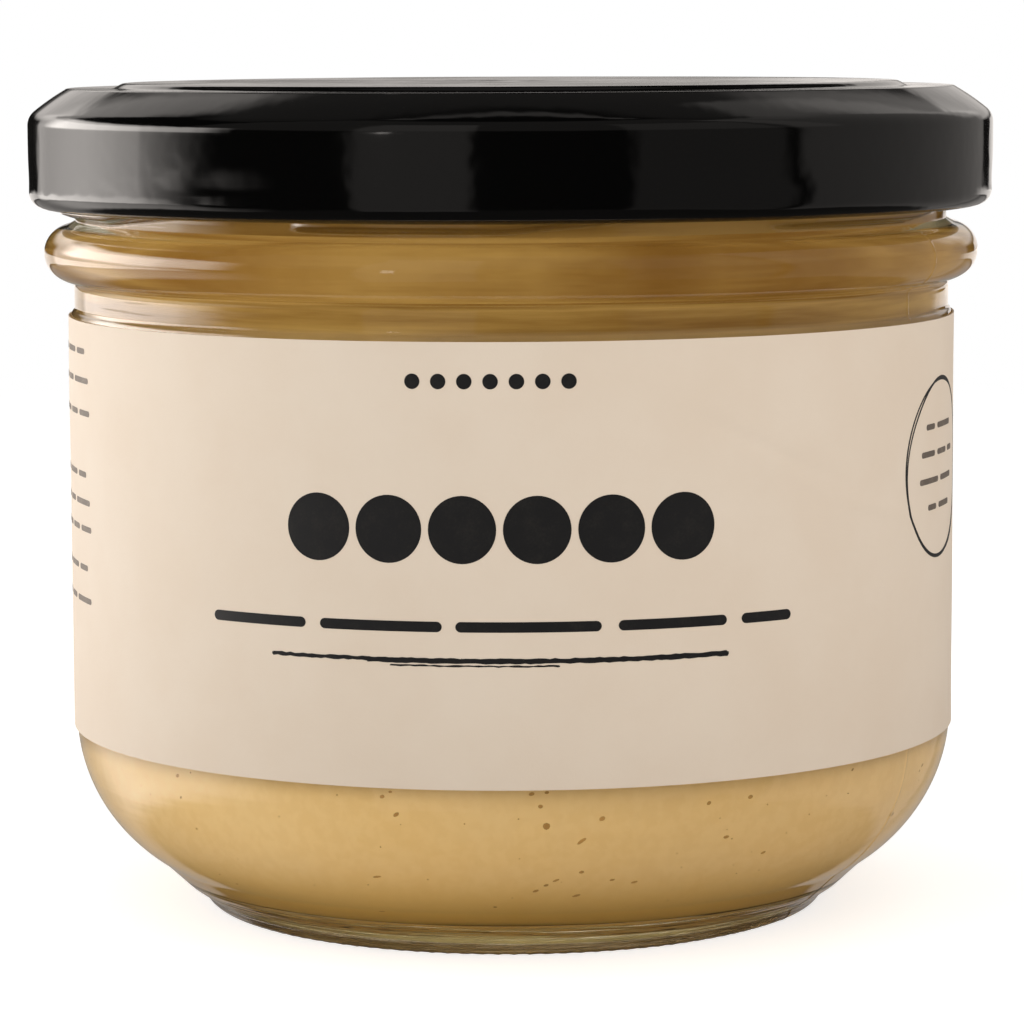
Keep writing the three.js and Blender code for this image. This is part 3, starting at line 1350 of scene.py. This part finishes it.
@dataclass
class Print:
    """The label's print: rounds, bars, a brushed rule, a drawn ring and a table."""

    label: Label
    stamp: Point = (47.9, 39.7)
    lift: float = 0.02
    sunk: float = 0.06
    step: float = 0.4
    seed: int = 4
    word_gap: float = 0.8
    points: list[Array] = field(default_factory=list)
    faces: list[tuple[int, ...]] = field(default_factory=list)
    used: int = 0

    def wrap(self, flat: Array, lift: float) -> Array:
        """Lays flat places on the label.

        Args:
            flat: distances round the label and heights, one row each.
            lift: distance from the printed side.

        Returns:
            The places round the jar.
        """
        angle = np.degrees(flat[:, 0] / self.label.face)
        base = np.full(len(flat), self.label.face)
        radius, height = self.label.shape(angle, base, flat[:, 1])
        around = np.radians(angle)
        radius = radius + lift
        return np.stack([radius * np.sin(around), -radius * np.cos(around), height], axis=-1)

    def close(self, front: int, back: int, edges: list[tuple[int, int]]) -> None:
        """Adds a side face under each edge, given the first front and back corner."""
        self.faces += [(front + a, back + a, back + b, front + b) for a, b in edges]

    def patch(self, grid: Array, closed: bool = False) -> None:
        """Adds a thin solid over a grid of flat places.

        Args:
            grid: rows of places, each row running across the shape.
            closed: whether the last row meets the first, as on a ring.
        """
        rows, wide = grid.shape[:2]
        flat = grid.reshape(-1, 2)
        front, back = self.used, self.used + len(flat)
        self.points += [self.wrap(flat, self.lift), self.wrap(flat, -self.sunk)]
        self.used += 2 * len(flat)
        for i in range(rows if closed else rows - 1):
            here, there = i * wide, (i + 1) % rows * wide
            for k in range(wide - 1):
                quad = (here + k, there + k, there + k + 1, here + k + 1)
                self.faces.append(tuple(front + c for c in quad))
                self.faces.append(tuple(back + c for c in reversed(quad)))
            self.close(front, back, [(here, there), (there + wide - 1, here + wide - 1)])
        if not closed:
            crown = (rows - 1) * wide
            self.close(front, back, [(k + 1, k) for k in range(wide - 1)])
            self.close(front, back, [(crown + k, crown + k + 1) for k in range(wide - 1)])

    def bar(
        self, left: float, right: float, height: float, thick: float, rough: float = 0.0
    ) -> None:
        """A level bar with round ends.

        Args:
            left: where it starts round the label.
            right: where it ends.
            height: height of its middle.
            thick: its thickness.
            rough: unevenness of its edges, for a brushed stroke.
        """
        draw = np.random.default_rng(self.seed + round(2000 + left * 10))
        half = thick / 2
        ends = half * (1 - np.cos(np.linspace(0, math.pi / 2, 5)))
        middle = np.arange(left + half, right - half, self.step)
        along = np.concatenate([left + ends, middle[1:], right - ends[::-1]])
        inset = np.clip(np.minimum(along - left, right - along) / half, 0, 1)
        open_ = half * np.sqrt(np.clip(1 - (1 - inset) ** 2, 0.0025, 1))
        upper = height + open_ + rough * draw.uniform(-1, 1, len(along))
        lower = height - open_ + rough * draw.uniform(-1, 1, len(along))
        across = np.linspace(0, 1, 3)[None, :]
        heights = lower[:, None] * (1 - across) + upper[:, None] * across
        self.patch(np.stack([np.broadcast_to(along[:, None], heights.shape), heights], axis=-1))

    def ring(self, centre: Point, half: Point, width: float, wobble: float, seed: int) -> None:
        """A closed ring line drawn by hand.

        Args:
            centre: its middle.
            half: its half width and half height.
            width: width of the line.
            wobble: unevenness of the line.
            seed: start of the random draw.
        """
        turn = np.linspace(0, 2 * math.pi, 96, endpoint=False)
        draw = np.random.default_rng(seed)
        off = sum(np.cos(turn * n + draw.uniform(0, 6.3)) * wobble / n for n in (2, 3, 5))
        weight = width * (1 + 0.35 * np.cos(turn + draw.uniform(0, 6.3)))
        rows = []
        for grow in (off - weight / 2, off + weight / 2):
            x = centre[0] + (half[0] + grow) * np.cos(turn)
            rows.append(np.stack([x, centre[1] + (half[1] + grow) * np.sin(turn)], axis=-1))
        self.patch(np.stack(rows, axis=1), closed=True)

    def disc(self, centre: Point, radius: float) -> None:
        """A solid round.

        Args:
            centre: its middle.
            radius: its radius.
        """
        turn = np.linspace(0, 2 * math.pi, 48, endpoint=False)
        shares = np.array([1.0, 0.66, 0.33, 0.001])[None, :]
        x = centre[0] + radius * np.cos(turn)[:, None] * shares
        y = centre[1] + radius * np.sin(turn)[:, None] * shares
        self.patch(np.stack([x, y], axis=-1), closed=True)

    def small_print(
        self, left: float, right: float, heights: Sequence[float], ragged: float, thick: float = 0.5
    ) -> None:
        """Rows of word-long bars that stand in for small print.

        Args:
            left: where the rows start.
            right: where the longest ends.
            heights: middle height of each row.
            ragged: how much shorter a row may be.
            thick: thickness of the bars.
        """
        draw = np.random.default_rng(self.seed + round(1000 + left))
        for height in heights:
            place, end = left, right - ragged * draw.random()
            while place < end - 1.0:
                word = min(draw.uniform(1.8, 5.5), end - place)
                self.bar(place, place + word, height, thick)
                place += word + self.word_gap

    def front(self) -> None:
        """A row of dots, six rounds, bars and a brushed rule at the front, and the drawn ring."""
        for i in range(7):
            self.disc((-8.0 + 2.1 * i, 49.25), 0.62)
        for i in range(6):
            self.disc((-16.1 + 6.04 * i, 37.35), 2.75)
        words = ((-26.4, -17.3), (-16.0, -5.7), (-4.6, 7.2), (8.6, 18.0), (19.4, 24.3))
        for left, right in words:
            self.bar(left, right, 29.5, 0.85)
        self.bar(-20.5, -4.0, 26.8, 0.3, rough=0.05)
        self.bar(-12.0, 18.2, 26.75, 0.42, rough=0.05)
        self.bar(-10.0, 3.8, 26.34, 0.14, rough=0.04)
        self.ring(self.stamp, (8.2, 7.6), 0.24, 0.22, 5)
        self.ring((self.stamp[0] + 0.15, self.stamp[1] - 0.1), (8.0, 7.75), 0.18, 0.3, 9)

    def small(self) -> None:
        """Rows of small print in the ring, at the left edge, and in a plain table further round."""
        for row, half in enumerate((3.9, 5.0, 5.4, 3.4)):
            height = self.stamp[1] + 3.6 - 2.3 * row
            self.small_print(self.stamp[0] - half, self.stamp[0] + half, (height,), 0.0)
        for heights in ((49.9, 47.4, 44.6), (39.3, 36.9, 34.6), (31.2, 28.4)):
            self.small_print(-78.0, -45.2, heights, 2.5)
        left, right, low, row = -112.0, -86.0, 24.0, 2.6
        for i in range(10):
            self.bar(left, right, low + row * i, 0.14)
        for i in range(9):
            height = low + row * (i + 0.5)
            self.small_print(left + 1, left + 14, (height,), 5.0)
            self.small_print(right - 7, right - 1, (height,), 3.0)

    def build(self, name: str, draw: Callable[["Print"], None], finish: PrintInk) -> None:
        """Makes a part of the print.

        Args:
            name: name of the piece.
            draw: lays out its shapes.
            finish: its ink.
        """
        draw(self)
        made = mesh_object(name, np.vstack(self.points), self.faces, 30.0)
        dress(made, finish.material(), "paper")


# ---- The studio ----------------------------------------------------------------------------


def direction(azimuth: float, elevation: float) -> Vector:
    """Unit vector from the jar towards a place round it, in degrees."""
    a, e = math.radians(azimuth), math.radians(elevation)
    return Vector((math.sin(a) * math.cos(e), -math.cos(a) * math.cos(e), math.sin(e)))


@dataclass(frozen=True)
class SoftBox:
    """A flat rectangular light that faces the jar and isn't seen in gloss, sized in metres."""

    name: str
    azimuth: float
    elevation: float
    distance: float
    width: float
    height: float
    radiance: float
    colour: Colour = WHITE

    def place(self) -> None:
        """Adds the light to the scene."""
        light = bpy.data.lights.new(self.name, "AREA")
        light.shape = "RECTANGLE"
        light.size, light.size_y = self.width, self.height
        light.energy = self.radiance * math.pi * self.width * self.height
        light.color = self.colour
        lamp = bpy.data.objects.new(self.name, light)
        bpy.context.scene.collection.objects.link(lamp)
        way = direction(self.azimuth, self.elevation)
        lamp.location = Vector((0.0, 0.0, 0.036)) + way * self.distance
        lamp.rotation_euler = way.to_track_quat("Z", "Y").to_euler()
        lamp.visible_camera = lamp.visible_glossy = False


@dataclass(frozen=True)
class Panel:
    """A soft panel of the room that only gloss and glass mirror, with its edges in degrees.

    Attributes:
        start: azimuth of its left edge.
        end: azimuth of its right edge.
        low: elevation of its lower edge.
        high: elevation of its upper edge.
        radiance: its brightness.
        soft: width of its soft sides.
        soft_rise: width of its soft upper and lower edges.
    """

    start: float
    end: float
    low: float
    high: float
    radiance: float
    soft: float = 2.0
    soft_rise: float = 2.0


@dataclass
class Studio:
    """Pale floor, soft lights, pale surroundings and the camera."""

    focal: float = 149.77
    camera_distance: float = 0.377
    camera_height: float = 0.0772
    pitch: float = 6.48
    roll: float = -0.26
    floor_radius: float = 0.6
    floor_fade: Point = (0.3, 0.57)
    floor_seen: Colour = (0.9, 0.9, 0.9)
    floor_bounce: Colour = (0.66, 0.62, 0.55)
    floor_glow: float = 0.7
    # floor_light is a painted fill light from the floor; painted_shadow_reach is the painted shadow
    # round the jar, across which it fades in.
    floor_light: float = 0.75
    painted_shadow_reach: Point = (0.03, 0.11)
    # base_glow and base_ring paint a pool of light on the floor under the base, seen through the
    # glass.
    base_glow: float = 1.7
    base_ring: Point = (0.021, 0.0235)
    dim_room: float = 0.012
    room_tone: Colour = (1.0, 0.94, 0.89)
    panels: tuple[Panel, ...] = (
        Panel(-150, -95, -9, 17, 1.2, 6, 4),
        Panel(-128, -88, -9, 17, 2.3, 34, 4),
        Panel(-140, -74, 1.5, 22, 4.2, 14, 5),
        Panel(-146, -84, -8, -3, 2.0, 16, 0.3),
        Panel(-140, -78, -27, -9, 2.0, 40, 8),
        Panel(-37.5, -9, -30, 50, 0.3),
        Panel(-31, -28, 2, 12, 3.0, 1, 1),
        Panel(28.5, 66.7, -25, 50, 0.15, 4, 4),
        Panel(71, 150, -30, 60, 0.32, 4, 4),
        Panel(-85, 85, 16, 72, 0.14, 6, 8),
        Panel(-200, -172, -2.6, 2, 0.52),
        Panel(176.5, 200, -2.6, 2, 0.52),
        Panel(160, 176.5, -2.6, 2, 1.0),
        Panel(-200, -148, -7, -2.6, 1.1, 12, 0.6),
        Panel(148, 200, -7, -2.6, 1.1, 12, 0.6),
        Panel(-200, -152, -30, -8, 0.35, 16, 3),
        Panel(152, 200, -30, -8, 0.35, 16, 3),
        Panel(-200, -150, 8, 24, 1.0, 6, 5),
        Panel(150, 200, 4, 24, 0.8, 6, 4),
        Panel(-157, -141, 12, 50, 0.9, 8, 8),
        Panel(141, 157, 12, 50, 0.5, 8, 8),
        Panel(-200, -90, 50, 72, 0.09, 8, 6),
        Panel(90, 200, 50, 72, 0.09, 8, 6),
        Panel(-200, -90, 75, 78, 0.35, 8, 1.5),
        Panel(90, 200, 75, 78, 0.35, 8, 1.5),
        Panel(-180, 180, -90, -22, 0.045, 8, 8),
    )
    lights: tuple[SoftBox, ...] = (
        SoftBox("softbox_left_rear", -118.0, 4.0, 0.8, 0.75, 0.6, 3.1, (1.0, 0.96, 0.93)),
        SoftBox("overhead", 0.0, 82.0, 0.8, 1.2, 1.2, 0.72),
        SoftBox("fill_left", -50.0, 8.0, 1.2, 1.0, 0.7, 2.3, (1.0, 0.98, 0.94)),
        SoftBox("fill_front", 10.0, 8.0, 1.2, 1.2, 0.8, 1.1, (1.0, 0.93, 0.84)),
        SoftBox("fill_right", 80.0, 8.0, 1.0, 0.7, 0.6, 2.9, (1.0, 0.93, 0.86)),
    )

    def add_floor(self) -> None:
        """Adds a round pale floor whose edge fades into the surroundings."""
        turn = np.linspace(0, 2 * math.pi, 96, endpoint=False)
        rim = np.stack([np.cos(turn), np.sin(turn), np.zeros(96)], axis=-1) * self.floor_radius / MM
        floor = mesh_object("floor", rim, [tuple(range(96))])
        material, graph = new_material("floor_pale")
        away = graph.add("VectorMath", {0: graph.place()}, operation="LENGTH").outputs["Value"]
        path = graph.add("LightPath").outputs
        seen = path["Is Camera Ray"]
        # painted fill light for rays other than the camera's, with a painted shadow near the jar
        lit = graph.times(graph.span(away, *self.painted_shadow_reach), self.floor_light)
        # painted pool of light under the base, for rays that come through the glass
        through = graph.times(path["Is Transmission Ray"], self.base_glow)
        base = graph.times(graph.span(away, *self.base_ring, 1.0, 0.0), through)
        lit = graph.math("MAXIMUM", lit, base)
        graph.shade(
            Base_Color=graph.mix(seen, self.floor_bounce, self.floor_seen),
            Roughness=0.9,
            Specular_IOR_Level=0.0,
            Emission_Color=WHITE,
            Emission_Strength=graph.math("MAXIMUM", lit, graph.times(seen, self.floor_glow)),
            Alpha=graph.span(away, *self.floor_fade, 1.0, 0.0),
        )
        floor.data.materials.append(material)
        floor.visible_glossy = False

    def mirrored_room(self, graph: Graph) -> Wire:
        """Brightness of the room as gloss mirrors it: dim, with the soft panels in it.

        Args:
            graph: the graph of the surroundings.

        Returns:
            The brightness by direction.
        """
        way = graph.add("SeparateXYZ", {0: graph.add("TexCoord").outputs["Generated"]}).outputs
        azimuth = graph.math("ARCTAN2", way["X"], graph.times(way["Y"], -1.0))
        azimuth = graph.times(azimuth, 180.0 / math.pi)
        rise = graph.times(graph.math("ARCSINE", way["Z"]), 180.0 / math.pi)
        total = self.dim_room
        for panel in self.panels:
            wide = graph.window(azimuth, panel.start, panel.end, panel.soft)
            tall = graph.window(rise, panel.low, panel.high, panel.soft_rise)
            total = graph.plus(graph.times(graph.times(wide, tall), panel.radiance), total)
        return total

    def add_surroundings(self) -> None:
        """Adds a world that is pale to the eye and through glass, and a dim room in reflections."""
        world = bpy.data.worlds.new("surroundings")
        bpy.context.scene.world = world
        world.use_nodes = True
        world.cycles.sampling_method = "NONE"
        graph = Graph(world.node_tree)
        path = graph.add("LightPath").outputs
        first = graph.math("LESS_THAN", path["Diffuse Depth"], 0.5)
        through = graph.times(path["Is Transmission Ray"], first)
        seen = graph.math("MAXIMUM", path["Is Camera Ray"], through)
        room = graph.times(self.mirrored_room(graph), graph.times(path["Is Glossy Ray"], first))
        back = world.node_tree.nodes["Background"].inputs
        graph.feed(back["Strength"], graph.plus(room, seen))
        graph.feed(back["Color"], graph.mix(seen, self.room_tone, WHITE))

    def add_camera(self) -> None:
        """Adds the camera, a little above the lid and looking slightly down."""
        camera = bpy.data.cameras.new("camera")
        camera.lens, camera.sensor_width = self.focal, 36.0
        camera.clip_start, camera.clip_end = 0.01, 20.0
        holder = bpy.data.objects.new("camera", camera)
        bpy.context.scene.collection.objects.link(holder)
        holder.location = (0.0, -self.camera_distance, self.camera_height)
        holder.rotation_mode = "QUATERNION"
        turn = direction(0.0, self.pitch).to_track_quat("Z", "Y")
        holder.rotation_quaternion = turn @ Quaternion((0.0, 0.0, 1.0), math.radians(self.roll))
        bpy.context.scene.camera = holder

    def build(self) -> None:
        """Adds everything that isn't the object."""
        self.add_floor()
        self.add_surroundings()
        self.add_camera()
        for light in self.lights:
            light.place()
        bpy.context.scene.view_settings.view_transform = "Standard"


def main() -> None:
    """Builds the jar of hummus and the studio round it."""
    logging.basicConfig(level=logging.INFO, format="%(name)s %(message)s")
    Studio().build()
    jar = GlassJar()
    jar.build(PressedGlass())
    Hummus(jar).build(ChickpeaPaste(), SkinFleck())
    Lid().build(BlackLacquer())
    label = Label()
    label.build(LabelPaper())
    Print(label).build("label_print", Print.front, PrintInk())
    faint = PrintInk("print_ink_faint", (0.13, 0.105, 0.085), (0.22, 0.18, 0.145))
    Print(label).build("label_small_print", Print.small, faint)
    bpy.context.view_layer.update()


if __name__ == "__main__":
    main()
